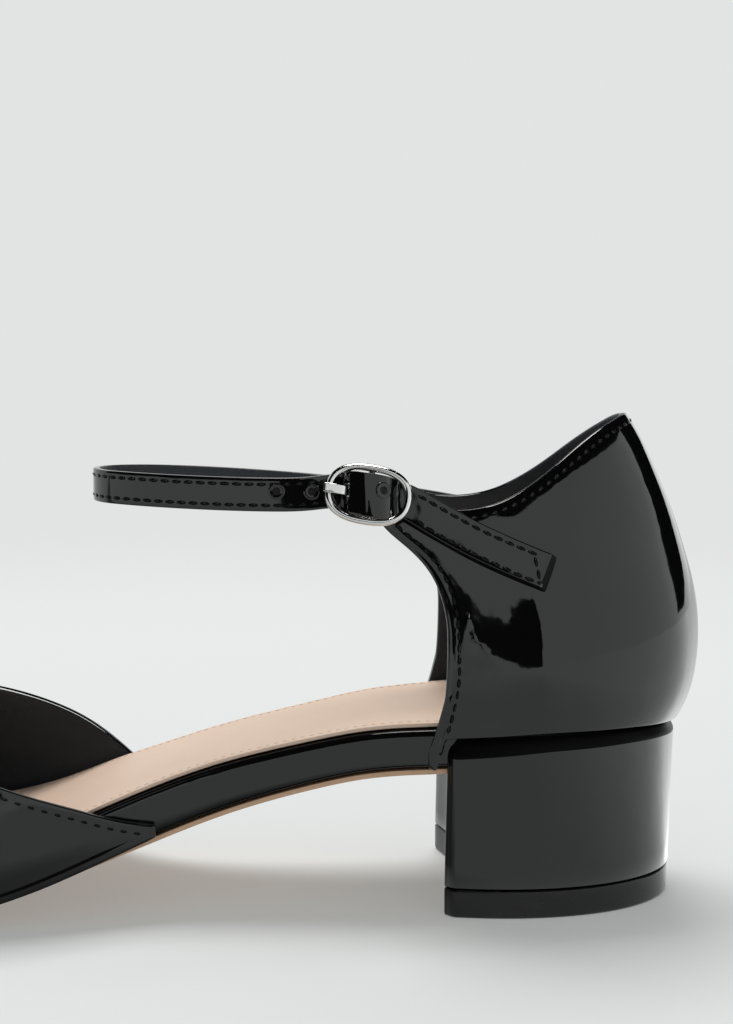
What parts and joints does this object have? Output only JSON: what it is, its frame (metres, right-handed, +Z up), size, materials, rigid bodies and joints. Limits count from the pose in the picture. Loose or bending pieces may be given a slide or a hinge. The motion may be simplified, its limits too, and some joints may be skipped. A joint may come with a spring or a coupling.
{
  "type": "heeled shoe",
  "caption": "Low block heel pump for the left foot, open at both sides of the waist, with a buckled ankle strap, in black patent with a tan insole.",
  "frame": {"origin": "on the floor, midway between the heel's back and the toe's tip", "axes": "+X from the toe to the heel, +Y to the inner side of the left foot, +Z up"},
  "size_m": [0.25, 0.0823, 0.1039],
  "materials": {
    "patent_black": "high gloss patent",
    "insole_tan": "matt",
    "outsole_tan": "satin",
    "rubber_black": "satin",
    "buckle_chrome": "polished"
  },
  "bodies": {
    "root": {"outsole": "outsole_tan", "sole_board": "patent_black", "insole": "insole_tan", "upper_vamp": "patent_black", "upper_quarter": "patent_black", "heel_block": "patent_black", "heel_top_piece": "rubber_black", "ankle_strap": "patent_black", "buckle_tab": "patent_black", "buckle_frame": "buckle_chrome", "buckle_prong": "buckle_chrome"}
  },
  "joints": []
}
